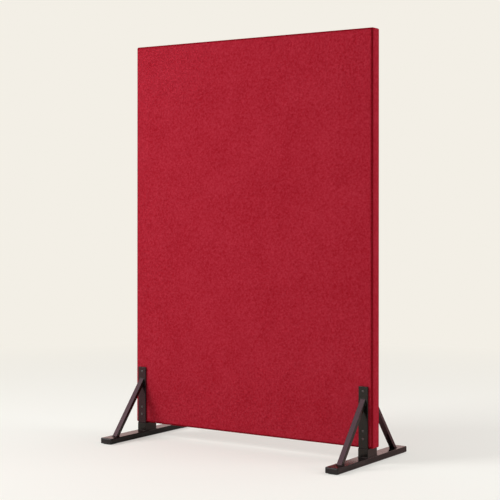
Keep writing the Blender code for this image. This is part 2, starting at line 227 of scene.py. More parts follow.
def round_corner(quarter: int, half: Flat, radius: float, steps: int) -> list[Flat]:
    """One round corner of a rectangle about the origin.

    Args:
        quarter: Which corner, counted anticlockwise from the upper right.
        half: Half of the rectangle's width and of its height.
        radius: The corner's radius.
        steps: Its divisions.

    Returns:
        The corner's points, anticlockwise.
    """
    right, up = ((1, 1), (-1, 1), (-1, -1), (1, -1))[quarter]
    points = []
    for step in range(steps + 1):
        angle = QUARTER * (quarter + step / steps)
        across = right * (half[0] - radius) + radius * math.cos(angle)
        along = up * (half[1] - radius) + radius * math.sin(angle)
        points.append((across, along))
    return points


def rounded_outline(size: Flat, radius: float, steps: int, inset: float = 0.0) -> list[Flat]:
    """A rectangle about the origin with round corners.

    Args:
        size: Its size along both axes.
        radius: The corners' radius.
        steps: The divisions of each corner.
        inset: How far the outline is then drawn in on every side.

    Returns:
        The outline's points, anticlockwise.
    """
    half = ((size[0] - 2 * inset) / 2, (size[1] - 2 * inset) / 2)
    return [point for quarter in range(4) for point in round_corner(quarter, half, radius, steps)]


def bevel_all(skin: Skin, width: float, segments: int) -> None:
    """Rounds every sharp edge of a skin.

    Args:
        skin: The bmesh to change.
        width: How far the rounding reaches from each edge.
        segments: The divisions of the rounding.
    """
    skin.normal_update()
    sharp = [edge for edge in skin.edges if edge.calc_face_angle(0) > SHARP]
    bmesh.ops.bevel(
        skin, geom=sharp, offset=width, segments=segments, profile=0.5, affect="EDGES",
        clamp_overlap=True,
    )


def carve(target: Piece, tool: Piece, sharp_degrees: float = 35.0) -> None:
    """Cuts a tool out of a target for good and removes the tool.

    Args:
        target: The object whose mesh is cut.
        tool: The solid that is taken away.
        sharp_degrees: Edges that bend more than this stay sharp.
    """
    change = target.modifiers.new("carve", "BOOLEAN")
    change.operation = "DIFFERENCE"
    change.object = tool
    change.solver = "EXACT"
    graph = bpy.context.evaluated_depsgraph_get()
    cut = bpy.data.meshes.new_from_object(target.evaluated_get(graph))
    target.modifiers.clear()
    target.data = cut
    bpy.data.objects.remove(tool, do_unlink=True)
    cut.shade_smooth()
    cut.set_sharp_from_angle(angle=math.radians(sharp_degrees))


def dress(piece: Piece, material: Material, slot: str, *nodes: str) -> None:
    """Gives a piece its finish and lets it stand for CAD nodes.

    Args:
        piece: The finished piece.
        material: Its material.
        slot: The record's material slot; not used.
        nodes: The CAD nodes that it replaces.
    """
    piece.data.materials.clear()
    piece.data.materials.append(material)
    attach(piece, BODY)
    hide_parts(*nodes)
    LOG.info("%s stands for %s", piece.name, ", ".join(nodes))


# Shader building


class Tree:
    """A node tree with short calls to add and join nodes."""

    def __init__(self, tree: Group) -> None:
        """Keeps the tree and clears what it holds."""
        self.tree = tree
        tree.nodes.clear()

    def add(self, kind: str, inputs: Inputs | None = None, **settings: object) -> Node:
        """Adds a node.

        Args:
            kind: The node's type name.
            inputs: What its inputs get.
            settings: Properties to set on it.

        Returns:
            The node.
        """
        made = self.tree.nodes.new(kind)
        for name, value in settings.items():
            setattr(made, name, value)
        self.feed(made, inputs or {})
        return made

    def feed(self, node: Node, inputs: Inputs) -> None:
        """Links or sets inputs of a node.

        Args:
            node: The node.
            inputs: A link, number, vector or colour for each input, by its name or number.
        """
        for key, value in inputs.items():
            socket = node.inputs[key]
            if isinstance(value, Socket):
                self.tree.links.new(value, socket)
            elif socket.type == "RGBA":
                socket.default_value = (*value, 1.0)
            else:
                socket.default_value = value

    def _maths(self, kind: str, one: Value, two: Value) -> Socket:
        """Adds a Math node of a kind and returns its result."""
        return self.add("ShaderNodeMath", {0: one, 1: two}, operation=kind).outputs[0]

    def times(self, one: Value, two: Value) -> Socket:
        """Multiplies two values."""
        return self._maths("MULTIPLY", one, two)

    def plus(self, one: Value, two: Value) -> Socket:
        """Adds two values."""
        return self._maths("ADD", one, two)

    def minus(self, one: Value, two: Value) -> Socket:
        """Takes the second value from the first."""
        return self._maths("SUBTRACT", one, two)

    def greater(self, one: Value, two: Value) -> Socket:
        """Picks the greater of two values."""
        return self._maths("MAXIMUM", one, two)

    def blend(self, share: Value, one: Value, two: Value) -> Socket:
        """Mixes two colours by the share of the second."""
        return self.add("ShaderNodeMix", {0: share, 6: one, 7: two}, data_type="RGBA").outputs[2]

    def mixed(self, share: Value, one: Node, two: Node) -> Node:
        """Mixes two shaders by the share of the second."""
        shaders = {0: share, 1: one.outputs[0], 2: two.outputs[0]}
        return self.add("ShaderNodeMixShader", shaders)

    def speckle(
        self, place: Socket, cells: Value, octaves: float = 3.0, rough: float = 0.5,
        twist: float = 0.0,
    ) -> Socket:
        """Adds a Noise texture.

        Args:
            place: The coordinates.
            cells: Cells to the metre.
            octaves: How many finer layers it has.
            rough: How strong the finer layers are.
            twist: How far the cells are drawn out of shape.

        Returns:
            The noise value, about 0.5 on average.
        """
        inputs = {
            "Vector": place, "Scale": cells, "Detail": octaves, "Roughness": rough,
            "Distortion": twist,
        }
        return self.add("ShaderNodeTexNoise", inputs).outputs["Fac"]

    def stretched(
        self, place: Socket, scale: Point = (1.0, 1.0, 1.0), turn: Point = (0.0, 0.0, 0.0)
    ) -> Socket:
        """Adds a Mapping node.

        Args:
            place: The coordinates.
            scale: The factor along each axis.
            turn: The rotation about each axis, in radians.

        Returns:
            The changed coordinates.
        """
        inputs = {"Vector": place, "Scale": scale, "Rotation": turn}
        return self.add("ShaderNodeMapping", inputs).outputs["Vector"]

    def spread(self, value: Socket, span: Flat, target: Flat) -> Socket:
        """Stretches one range of a value to another, and stops at its ends.

        Args:
            value: The value.
            span: Its old range.
            target: Its new range.

        Returns:
            The stretched value.
        """
        inputs = dict(enumerate((value, *span, *target)))
        return self.add("ShaderNodeMapRange", inputs).outputs["Result"]

    def bump(self, height: Socket, depth: float) -> Socket:
        """Turns a height into a normal, with the bump's depth in metres."""
        return self.add("ShaderNodeBump", {"Distance": depth, "Height": height}).outputs["Normal"]

    def rays(self) -> tuple[Socket, Socket]:
        """Tells rays that see the surroundings from those that light a matt surface.

        Returns:
            A mask of the camera's rays, and one of these with glossy and transmission rays.
        """
        rays = self.add("ShaderNodeLightPath").outputs
        camera = rays["Is Camera Ray"]
        seen = self.greater(camera, rays["Is Glossy Ray"])
        return camera, self.greater(seen, rays["Is Transmission Ray"])


class Kind(Enum):
    """The kinds of socket that a shader group has."""

    COLOUR = "NodeSocketColor"
    PLACE = "NodeSocketVector"
    NUMBER = "NodeSocketFloat"


def new_group(
    name: str, inputs: dict[str, tuple[Kind, object]], outputs: dict[str, Kind]
) -> tuple[Tree, Sockets, Node]:
    """Starts a shader node group.

    Args:
        name: The group's name.
        inputs: Kind and default value of each input, by name.
        outputs: Kind of each output, by name.

    Returns:
        The group's tree, the sockets that give its inputs, and its output node.
    """
    made = bpy.data.node_groups.new(name, "ShaderNodeTree")
    for label, (kind, default) in inputs.items():
        socket = made.interface.new_socket(label, in_out="INPUT", socket_type=kind.value)
        if default is not None:
            socket.default_value = default
    for label, kind in outputs.items():
        made.interface.new_socket(label, in_out="OUTPUT", socket_type=kind.value)
    tree = Tree(made)
    return tree, tree.add("NodeGroupInput").outputs, tree.add("NodeGroupOutput")


class Effects:
    """The shader node groups that several finishes share, each built once."""

    def __init__(self) -> None:
        """Builds every group."""
        self.mottle = self._mottle()
        self.grain = self._grain()
        self.dust = self._dust()

    @staticmethod
    def _mottle() -> Group:
        """Uneven colour in two sizes of cloud.

        Returns:
            The group, which also puts out the clouds as a height.
        """
        tree, given, out = new_group(
            "uneven_colour",
            {
                "Colour": (Kind.COLOUR, (0.5, 0.5, 0.5, 1)),
                "Dark": (Kind.COLOUR, (0.3, 0.3, 0.3, 1)),
                "Light": (Kind.COLOUR, (0.7, 0.7, 0.7, 1)),
                "Place": (Kind.PLACE, None),
                "Broad": (Kind.NUMBER, 0.3),
                "Fine": (Kind.NUMBER, 0.3),
                "Cells": (Kind.NUMBER, 350.0),
            },
            {"Colour": Kind.COLOUR, "Cloud": Kind.NUMBER},
        )
        # The fine grain is turned aslant, so that its cells don't line up with the faces.
        aslant = tree.stretched(given["Place"], turn=(0.61, 0.43, 0.37))
        broad = tree.speckle(given["Place"], cells=9.0, octaves=3.0, rough=0.55)
        fine = tree.speckle(aslant, given["Cells"], octaves=4.0, rough=0.75)
        cloud = tree.plus(
            tree.times(tree.spread(broad, NOISE_SPAN, FULL_SPAN), given["Broad"]),
            tree.times(tree.spread(fine, NOISE_SPAN, FULL_SPAN), given["Fine"]),
        )
        darker = tree.greater(tree.times(cloud, -1.0), 0.0)
        lighter = tree.greater(cloud, 0.0)
        shaded = tree.blend(darker, given["Colour"], given["Dark"])
        tree.feed(out, {"Colour": tree.blend(lighter, shaded, given["Light"]), "Cloud": cloud})
        return tree.tree

    @staticmethod
    def _grain() -> Group:
        """Wood grain that runs along Z: growth rings drawn out, with fine pores.

        Returns:
            The group, which puts out the colour and a height.
        """
        tree, given, out = new_group(
            "wood_grain",
            {
                "Pale": (Kind.COLOUR, (0.6, 0.4, 0.2, 1)),
                "Dark": (Kind.COLOUR, (0.4, 0.25, 0.12, 1)),
                "Place": (Kind.PLACE, None),
            },
            {"Colour": Kind.COLOUR, "Height": Kind.NUMBER},
        )
        warp, trunk, fibre = (
            tree.stretched(given["Place"], (1.0, 1.0, drawn)) for drawn in (0.08, 0.05, 0.02)
        )
        rings = tree.add(
            "ShaderNodeTexWave",
            {"Vector": trunk, "Scale": 28.0, "Distortion": 5.0, "Detail": 3.0},
            wave_type="RINGS", rings_direction="Z",
        )
        strength = tree.spread(tree.speckle(warp, cells=22.0, octaves=2.0), NOISE_SPAN, (0.5, 1.0))
        ring = tree.times(rings.outputs["Fac"], strength)
        pores = tree.speckle(fibre, cells=900.0)
        mask = tree.plus(tree.times(ring, 0.7), tree.times(pores, 0.3))
        tree.feed(out, {
            "Colour": tree.blend(mask, given["Pale"], given["Dark"]),
            "Height": tree.minus(pores, tree.times(ring, 0.4)),
        })
        return tree.tree

    @staticmethod
    def _dust() -> Group:
        """A thin patchy veil on surfaces that face up.

        Returns:
            The group, which puts out the veil's mask.
        """
        tree, given, out = new_group(
            "settled_dust",
            {"Place": (Kind.PLACE, None), "Amount": (Kind.NUMBER, 0.1)},
            {"Mask": Kind.NUMBER},
        )
        normal = tree.add("ShaderNodeNewGeometry").outputs["Normal"]
        facing = tree.add("ShaderNodeSeparateXYZ", {0: normal}).outputs["Z"]
        clumps = tree.speckle(given["Place"], cells=45.0, octaves=5.0, rough=0.7)
        patches = tree.spread(clumps, (0.35, 0.75), (0.2, 1.0))
        veil = tree.times(patches, tree.spread(facing, (0.6, 1.0), MASK_SPAN))
        tree.feed(out, {"Mask": tree.times(veil, given["Amount"])})
        return tree.tree


class FinishTree(Tree):
    """The tree of one material, with its coordinates and the shared effects at hand."""

    def __init__(self, material: Material, effects: Effects) -> None:
        """Starts the tree.

        Args:
            material: The material.
            effects: The shared effects.
        """
        super().__init__(material.node_tree)
        self.effects = effects
        self.place = self.add("ShaderNodeTexCoord").outputs["Object"]

    def effect(self, group: Group, **values: Value) -> Sockets:
        """Places a shared effect.

        Args:
            group: The effect's node group.
            values: Numbers or colours for its inputs.

        Returns:
            The effect's outputs.
        """
        inputs = {"Place": self.place, **values}
        return self.add("ShaderNodeGroup", inputs, node_tree=group).outputs


def shade(colour: Colour, factor: float) -> Colour:
    """A darker or lighter shade of a colour."""
    return tuple(factor * part for part in colour)


@dataclass(frozen=True)
class Finish:
    """What all finishes have in common.

    Attributes:
        name: The material's name.
    """

    name: str

    def material(self, effects: Effects) -> Material:
        """Builds the finish as a material with one Principled shader.

        Args:
            effects: The shared effects.

        Returns:
            The material.
        """
        made = bpy.data.materials.new(self.name)
        made.use_nodes = True
        tree = FinishTree(made, effects)
        shader = tree.add("ShaderNodeBsdfPrincipled", self.surface(tree))
        tree.add("ShaderNodeOutputMaterial", {"Surface": shader.outputs[0]})
        return made

    def surface(self, tree: FinishTree) -> Inputs:
        """Says what the shader's sockets get.

        Args:
            tree: The material's tree.

        Returns:
            A link, number or colour for each socket that isn't left as it is.
        """
        raise NotImplementedError


@dataclass(frozen=True)
class FeltFinish(Finish):
    """Pressed wool felt: clouded dye, tangled fibres, a pale nap and painted shade along the
    seams.

    Attributes:
        name: The material's name.
        colour: The dye's plain colour.
        dark: Its darkest clouds.
        light: Its lightest clouds.
        painted_shade_colour: The painted shade along a seam, darker than the dye.
        broad: Strength of the broad clouds.
        fine: Strength of the fine grain.
        cells: Cells of the fine grain to the metre.
        fibres: Tangles of fibre to the metre.
        grain_height: Height of the grain as a share of the fibres'.
        bump: The fibres' depth.
        roughness: Roughness under the nap.
        nap: Strength of the nap's sheen.
        nap_roughness: The sheen's roughness.
        nap_tint: The sheen's colour.
    """

    name: str = "crimson_felt"
    colour: Colour = (0.361, 0.0173, 0.0321)
    dark: Colour = (0.270, 0.0038, 0.0107)
    light: Colour = (0.451, 0.0318, 0.0556)
    painted_shade_colour: Colour = (0.200, 0.0020, 0.0070)
    broad: float = 0.15
    fine: float = 0.8
    cells: float = 150.0
    fibres: float = 620.0
    grain_height: float = 0.6
    bump: float = 0.0006
    roughness: float = 0.92
    nap: float = 0.006
    nap_roughness: float = 0.45
    nap_tint: Colour = (1.0, 0.86, 0.88)

    def surface(self, tree: FinishTree) -> Inputs:
        """Says what the felt's sockets get.

        Args:
            tree: The material's tree.

        Returns:
            A link, number or colour for each socket.
        """
        cloud = tree.effect(
            tree.effects.mottle, Colour=self.colour, Dark=self.dark, Light=self.light,
            Broad=self.broad, Fine=self.fine, Cells=self.cells,
        )
        painted_shade = tree.add("ShaderNodeAttribute", attribute_type="GEOMETRY", attribute_name=PAINTED_SHADE)
        tangle = tree.speckle(tree.place, self.fibres, octaves=5.0, rough=0.7, twist=2.2)
        height = tree.plus(tangle, tree.times(cloud["Cloud"], self.grain_height))
        return {
            # The seam attribute mixes in painted shade where the rounded edges meet.
            "Base Color": tree.blend(painted_shade.outputs["Fac"], cloud["Colour"], self.painted_shade_colour),
            "Normal": tree.bump(height, self.bump),
            "Roughness": self.roughness,
            "Specular IOR Level": 0.0,
            "Sheen Weight": self.nap,
            "Sheen Roughness": self.nap_roughness,
            "Sheen Tint": self.nap_tint,
        }


@dataclass(frozen=True)
class CoatedSteelFinish(Finish):
    """Satin coating on steel, with a faint orange peel and settled dust.

    Attributes:
        name: The material's name.
        colour: The coating's plain colour.
        dark: Its darkest clouds.
        light: Its lightest clouds.
        broad: Strength of the broad clouds.
        fine: Strength of the fine grain.
        smooth: Least roughness.
        rough: Greatest roughness.
        patches: Patches of roughness to the metre.
        peel: Dimples of the orange peel to the metre.
        peel_depth: Their depth.
        metallic: How much the coating mirrors as metal does.
        edge_tint: The colour of what it mirrors at a low angle.
        dust: Strength of the dust.
        dust_colour: The dust's colour.
        dust_roughness: The roughness that a full layer of dust adds.
    """

    name: str = "brown_black_coating"
    colour: Colour = (0.022, 0.023, 0.020)
    dark: Colour = (0.016, 0.017, 0.015)
    light: Colour = (0.032, 0.032, 0.028)
    broad: float = 0.35
    fine: float = 0.25
    smooth: float = 0.15
    rough: float = 0.21
    patches: float = 60.0
    peel: float = 700.0
    peel_depth: float = 0.00004
    metallic: float = 0.70
    edge_tint: Colour = (1.0, 0.66, 0.68)
    dust: float = 0.10
    dust_colour: Colour = (0.30, 0.26, 0.25)
    dust_roughness: float = 0.6

    def surface(self, tree: FinishTree) -> Inputs:
        """Says what the coating's sockets get.

        Args:
            tree: The material's tree.

        Returns:
            A link, number or colour for each socket.
        """
        cloud = tree.effect(
            tree.effects.mottle, Colour=self.colour, Dark=self.dark, Light=self.light,
            Broad=self.broad, Fine=self.fine,
        )
        veil = tree.effect(tree.effects.dust, Amount=self.dust)["Mask"]
        patches = tree.speckle(tree.place, self.patches, octaves=4.0, rough=0.6)
        uneven = tree.spread(patches, NOISE_SPAN, (self.smooth, self.rough))
        peel = tree.speckle(tree.place, self.peel, octaves=2.0)
        return {
            "Base Color": tree.blend(veil, cloud["Colour"], self.dust_colour),
            "Roughness": tree.plus(uneven, tree.times(veil, self.dust_roughness)),
            "Normal": tree.bump(peel, self.peel_depth),
            "Metallic": self.metallic,
            "Specular Tint": self.edge_tint,
        }


@dataclass(frozen=True)
class MouldedFinish(Finish):
    """A moulded black part: plastic or rubber, by its roughness.

    Attributes:
        colour: Its plain colour.
        roughness: Its middle roughness.
        bump: Depth of its grit.
        gloss: Its specular level.
        uneven: How far its roughness swings either way.
        grit: Grains to the metre.
    """

    colour: Colour
    roughness: float
    bump: float
    gloss: float
    uneven: float = 0.05
    grit: float = 1500.0

    def surface(self, tree: FinishTree) -> Inputs:
        """Says what the moulded part's sockets get.

        Args:
            tree: The material's tree.

        Returns:
            A link, number or colour for each socket.
        """
        cloud = tree.effect(
            tree.effects.mottle, Colour=self.colour, Dark=shade(self.colour, 0.8),
            Light=shade(self.colour, 1.4), Broad=0.3, Fine=0.3,
        )
        grit = tree.speckle(tree.place, self.grit, octaves=2.0)
        swing = (self.roughness - self.uneven, self.roughness + self.uneven)
        return {
            "Base Color": cloud["Colour"],
            "Roughness": tree.spread(grit, NOISE_SPAN, swing),
            "Normal": tree.bump(grit, self.bump),
            "Specular IOR Level": self.gloss,
        }


@dataclass(frozen=True)
class ZincFinish(Finish):
    """Dark zinc on the screws, turned and slightly scuffed.

    Attributes:
        name: The material's name.
        colour: Its plain colour.
        metallic: How much it mirrors as metal does.
        scuffs: Scuffs to the metre.
        scuff_depth: Their depth.
        roughness: Its least and greatest roughness.
    """

    name: str = "dark_zinc"
    colour: Colour = (0.105, 0.090, 0.090)
    metallic: float = 0.85
    scuffs: float = 2400.0
    scuff_depth: float = 0.00002
    roughness: Flat = (0.28, 0.48)

    def surface(self, tree: FinishTree) -> Inputs:
        """Says what the screws' sockets get.

        Args:
            tree: The material's tree.

        Returns:
            A link, number or colour for each socket.
        """
        cloud = tree.effect(
            tree.effects.mottle, Colour=self.colour, Dark=shade(self.colour, 0.6),
            Light=shade(self.colour, 1.5), Broad=0.3, Fine=0.6,
        )
        scuff = tree.speckle(tree.place, self.scuffs, rough=0.6)
        return {
            "Base Color": cloud["Colour"],
            "Roughness": tree.spread(scuff, NOISE_SPAN, self.roughness),
            "Normal": tree.bump(scuff, self.scuff_depth),
            "Metallic": self.metallic,
        }


@dataclass(frozen=True)
class WoodFinish(Finish):
    """Planed timber, or board pressed from its fibres.

    Attributes:
        pale: Its colour between the rings.
        dark: Its colour in the rings.
        roughness: Its roughness.
        bump: The grain's depth.
    """

    pale: Colour
    dark: Colour
    roughness: float
    bump: float = 0.0003

    def surface(self, tree: FinishTree) -> Inputs:
        """Says what the wood's sockets get.

        Args:
            tree: The material's tree.

        Returns:
            A link, number or colour for each socket.
        """
        grain = tree.effect(tree.effects.grain, Pale=self.pale, Dark=self.dark)
        return {
            "Base Color": grain["Colour"],
            "Normal": tree.bump(grain["Height"], self.bump),
            "Roughness": self.roughness,
        }


@dataclass(frozen=True)
class PaperCoreFinish(Finish):
    """Light paper filling with open cells, each painted darker inside as shade.

    Attributes:
        name: The material's name.
        colour: The paper's plain colour.
        dark: Its darkest clouds.
        light: Its lightest clouds.
        painted_cell_shade: The colour inside a cell.
        cell_size: Width of a cell.
        cell_depth: Depth of a cell, as bump shows it.
        roughness: The paper's roughness.
    """

    name: str = "paper_core"
    colour: Colour = (0.62, 0.52, 0.36)
    dark: Colour = (0.5, 0.40, 0.26)
    light: Colour = (0.7, 0.6, 0.44)
    # painted_cell_shade: Painted shade inside a cell, darker than the paper.
    painted_cell_shade: Colour = (0.20, 0.16, 0.10)
    cell_size: float = 0.014
    cell_depth: float = 0.004
    roughness: float = 0.9

    def surface(self, tree: FinishTree) -> Inputs:
        """Says what the filling's sockets get.

        Args:
            tree: The material's tree.

        Returns:
            A link, number or colour for each socket.
        """
        cells = tree.add(
            "ShaderNodeTexVoronoi",
            {"Vector": tree.stretched(tree.place, (1.0, 0.02, 1.0)), "Scale": 1 / self.cell_size},
            feature="DISTANCE_TO_EDGE",
        )
        wall = tree.spread(cells.outputs["Distance"], (0.02, 0.10), (1.0, 0.0))
        cloud = tree.effect(
            tree.effects.mottle, Colour=self.colour, Dark=self.dark, Light=self.light,
            Broad=0.3, Fine=0.3,
        )
        return {
            # Painted shade fills each cell inside its paper walls.
            "Base Color": tree.blend(wall, self.painted_cell_shade, cloud["Colour"]),
            "Normal": tree.bump(wall, self.cell_depth),
            "Roughness": self.roughness,
        }


class Finishes:
    """Every material of the object, built once."""

    def __init__(self) -> None:
        """Builds the shared effects and then each material."""
        effects = Effects()
        self.felt = FeltFinish().material(effects)
        self.steel = CoatedSteelFinish().material(effects)
        # A darker, greener copy of the coating for the rails: painted shade.
        self.rail_steel = CoatedSteelFinish(
            "rail_coating", (0.008, 0.0145, 0.013), (0.006, 0.011, 0.010), (0.012, 0.020, 0.018)
        ).material(effects)
        # A browner, purplish copy of the coating, as a painted reflection, for the left uprights
        # and the rear braces.
        self.browner_steel = CoatedSteelFinish(
            "browner_coating", (0.038, 0.019, 0.0215), (0.030, 0.014, 0.016), (0.048, 0.026, 0.029)
        ).material(effects)
        self.weld = CoatedSteelFinish(
            "coating_over_weld", smooth=0.50, rough=0.65
        ).material(effects)
        self.plastic = MouldedFinish(
            "black_plug", (0.014, 0.011, 0.011), roughness=0.36, bump=0.00003, gloss=0.28
        ).material(effects)
        self.rubber = MouldedFinish(
            "black_rubber", (0.012, 0.012, 0.012), roughness=0.80, bump=0.0001, gloss=0.30
        ).material(effects)
        self.zinc = ZincFinish().material(effects)
        self.softwood = WoodFinish(
            "planed_softwood", (0.60, 0.43, 0.25), (0.42, 0.26, 0.12), roughness=0.62
        ).material(effects)
        self.hardboard = WoodFinish(
            "smooth_hardboard", (0.27, 0.15, 0.08), (0.18, 0.10, 0.05), roughness=0.55
        ).material(effects)
        self.core = PaperCoreFinish().material(effects)


# The covered panel


@dataclass
class CoveredPanel:
    """The felt over the panel, in three sheets, and the timber and boards inside it.

    Attributes:
        finishes: The object's materials.
        edge_radius: Rounding of the long edges, as on the frame.
        corner_radius: Rounding of the corners seen from the front.
        felt: The felt's thickness.
        seam_angle: Where a seam lies on the rounded edge, from the face's normal.
        seam_gap: The parting between two sheets at a seam.
        seam_depth: How far the sheets roll in at a seam, where they are pressed thinner.
        seam_reach: The angle over which they roll in.
        painted_shade_reach: The angle over which the folded felt looks darker.
        grid: Spacing of the sheet's mesh.
        margin: Room between that mesh and the rounded edges.
        bar_lines: Extra lines beside a bar's edge, as shares of the swelling's reach.
        least_step: The least distance between two lines.
        wave: Waves to the metre along X and Z, with the noise's slice between them.
        ripple: The same for finer waves.
        ripple_share: Their height as a share of the waves'.
        sway: How far the felt lies from a true plane.
        crest: How far it swells beside a bar that presses it down.
        crest_reach: How far from the bar that swelling has died away.
        crest_rise: The share of the reach in which it rises.
        crest_fall: The share in which it falls by a factor of e.
        arris_steps: Divisions of a rounded edge, on either side of its seam.
        corner_steps: Divisions of a corner.
    """

    finishes: Finishes
    edge_radius: float = 0.008
    corner_radius: float = 0.004
    felt: float = 0.0015
    seam_angle: float = math.radians(45)
    seam_gap: float = 0.0003
    seam_depth: float = 0.0011
    seam_reach: float = math.radians(18)
    painted_shade_reach: float = math.radians(27)
    grid: float = 0.018
    margin: float = 0.002
    bar_lines: tuple[float, ...] = (0.04, 0.14, 0.3, 0.55, 1.0)
    least_step: float = 0.0004
    wave: Point = (7.0, 3.1, 5.0)
    ripple: Point = (19.0, 8.7, 16.0)
    ripple_share: float = 0.4
    sway: float = 0.00022
    crest: float = 0.00045
    crest_reach: float = 0.012
    crest_rise: float = 0.12
    crest_fall: float = 0.45
    arris_steps: int = 8
    corner_steps: int = 6

    def __post_init__(self) -> None:
        """Reads the panel's place from the frame and lays out the sheets' mesh."""
        band = Block.of("edge_felt")
        self.centre = band.middle
        self.width = band.high.x - band.low.x
        self.height = band.high.z - band.low.z
        self.front_y = Block.of("front_felt").low.y
        self.rear_y = Block.of("rear_felt").high.y
        self.flat_depth = self.rear_y - self.front_y - 2 * self.edge_radius
        self.bars = [Block.of(f"{side.word}_front_upright") for side in Side]
        margin = self.edge_radius + self.corner_radius + self.margin
        sides = [edge.x - self.centre.x for bar in self.bars for edge in (bar.low, bar.high)]
        top = self.bars[0].high.z - self.centre.z
        self.columns = self._lines(self.width / 2 - margin, sides)
        self.rows = self._lines(self.height / 2 - margin, [top])

    def build(self) -> None:
        """Builds the three sheets and finishes the CAD pieces inside them."""
        for end in End:
            self._face_sheet(end)
        self._edge_sheet()
        timbers = ("left_stile", "right_stile", "top_rail", "middle_rail", "bottom_rail")
        inside = (
            (self.finishes.softwood, timbers),
            (self.finishes.hardboard, ("front_board", "rear_board")),
            (self.finishes.core, ("upper_core", "lower_core")),
        )
        for material, nodes in inside:
            for node in nodes:
                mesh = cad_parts[node].data
                mesh.materials.clear()
                mesh.materials.append(material)
                LOG.info("%s keeps its CAD shape", node)

    def _lines(self, half: float, edges: Sequence[float]) -> list[float]:
        """Grid lines either side of the panel's middle, closer beside the bars' edges.

        Args:
            half: How far they reach either way.
            edges: Where the bars' edges are.

        Returns:
            The lines' places in rising order.
        """
        count = max(1, round(2 * half / self.grid))
        lines = [-half + 2 * half * step / count for step in range(count + 1)]
        for edge in edges:
            for share in self.bar_lines:
                reach = share * self.crest_reach
                lines += [place for place in (edge - reach, edge + reach) if -half < place < half]
        lines.sort()
        kept = [lines[0]]
        for line in lines[1:]:
            if line - kept[-1] > self.least_step:
                kept.append(line)
        return kept

    def _relief(self, x: float, z: float) -> float:
        """How far the felt stands out from its plane.

        Args:
            x: The place along the panel.
            z: The place's height.

        Returns:
            The distance outwards, which is zero under a bar.
        """
        wave, ripple = (
            noise.noise(Vector((x * across, level, z * up)))
            for across, level, up in (self.wave, self.ripple)
        )
        out = self.sway * (wave + self.ripple_share * ripple)
        for bar in self.bars:
            beside = max(bar.low.x - x, x - bar.high.x, 0.0)
            above = max(z - bar.high.z, 0.0)
            away = math.hypot(beside, above)
            if away == 0.0:
                return 0.0
            settle = math.exp(-away / (self.crest_fall * self.crest_reach))
            rise = min(1.0, away / (self.crest_rise * self.crest_reach))
            near = max(0.0, 1.0 - away / self.crest_reach)
            out = out * (1.0 - near) + self.crest * settle * rise
        return out

    def _arris(self, start: float, stop: float) -> list[tuple[float, float, float, float]]:
        """Place and state of each ring round one long edge.

        Args:
            start: The first angle from the face's normal.
            stop: The last angle.

        Returns:
            Inset from the panel's outline, depth behind its face, share of the felt's thickness
            that is left, and how much painted shade it gets, ring by ring.
        """
        rings = []
        for step in range(self.arris_steps + 1):
            angle = start + (stop - start) * step / self.arris_steps
            off_seam = angle - self.seam_angle
            roll = math.exp(-((off_seam / self.seam_reach) ** 2))
            radius = self.edge_radius - self.seam_depth * roll
            inset = self.edge_radius - radius * math.sin(angle)
            depth = self.edge_radius - radius * math.cos(angle)
            left = 1.0 - self.seam_depth * roll / self.felt
            # Painted shade, darkest at the seam, where the rounded edge turns away from the lamps.
            painted_shade = math.exp(-((off_seam / self.painted_shade_reach) ** 2))
            rings.append((inset, depth, left, painted_shade))
        return rings

    @staticmethod
    def _add_ring(
        skin: Skin, points: Sequence[Point], left: float = 1.0, painted_shade: float = 0.0
    ) -> Ring:
        """Adds a ring or row of points to a sheet.

        Args:
            skin: The bmesh to add to.
            points: The points.
            left: The share of the felt's thickness that is left there.
            painted_shade: How much painted shade the felt gets there.

        Returns:
            The vertices.
        """
        weights = skin.verts.layers.deform.verify()
        painted_shades = skin.verts.layers.float.get(PAINTED_SHADE) or skin.verts.layers.float.new(PAINTED_SHADE)
        ring = [skin.verts.new(point) for point in points]
        for vertex in ring:
            vertex[weights][0] = left
            vertex[painted_shades] = painted_shade
        return ring

    def _outline(self, inset: float, y: float) -> list[Point]:
        """The panel's outline drawn in, with a point at every grid line.

        Args:
            inset: How far it is drawn in.
            y: Its place along Y.

        Returns:
            The outline's points, anticlockwise as seen from the front.
        """
        half = (self.width / 2 - inset, self.height / 2 - inset)
        sides = (
            [(half[0], z) for z in self.rows],
            [(x, half[1]) for x in reversed(self.columns)],
            [(-half[0], z) for z in reversed(self.rows)],
            [(x, -half[1]) for x in self.columns],
        )
        points: list[Flat] = []
        for quarter, side in enumerate(sides):
            points += side
            points += round_corner(quarter, half, self.corner_radius, self.corner_steps)
        return [(x + self.centre.x, y, z + self.centre.z) for x, z in points]

    def _face_sheet(self, end: End) -> None:
        """Builds the sheet on one face, rolled over the long edges to the seam.

        Args:
            end: The face that it covers.
        """
        face_y = self.front_y if end is End.FRONT else self.rear_y
        out = end.value
        skin = bmesh.new()
        loops = []
        seam = self.seam_angle - self.seam_gap / 2 / self.edge_radius
        for inset, depth, left, painted_shade in self._arris(0.0, seam):
            ring = self._outline(inset, face_y - out * depth)
            loops.append(self._add_ring(skin, ring, left, painted_shade))
        bridge(skin, loops)
        grid = []
        for x in (column + self.centre.x for column in self.columns):
            heights = [row + self.centre.z for row in self.rows]
            points = [(x, face_y + out * self._relief(x, z), z) for z in heights]
            grid.append(self._add_ring(skin, points))
        for one, other in zip(grid, grid[1:]):
            for low in range(len(self.rows) - 1):
                skin.faces.new((one[low], other[low], other[low + 1], one[low + 1]))
        self._border(skin, grid, loops[0])
        sheet = object_from(f"{end.word}_felt_sheet", skin, sharp_degrees=60.0)
        if (sheet.data.polygons[0].normal.y > 0) != (out > 0):
            sheet.data.flip_normals()
        self._thicken(sheet)
        dress(sheet, self.finishes.felt, "felt", f"{end.word}_felt")

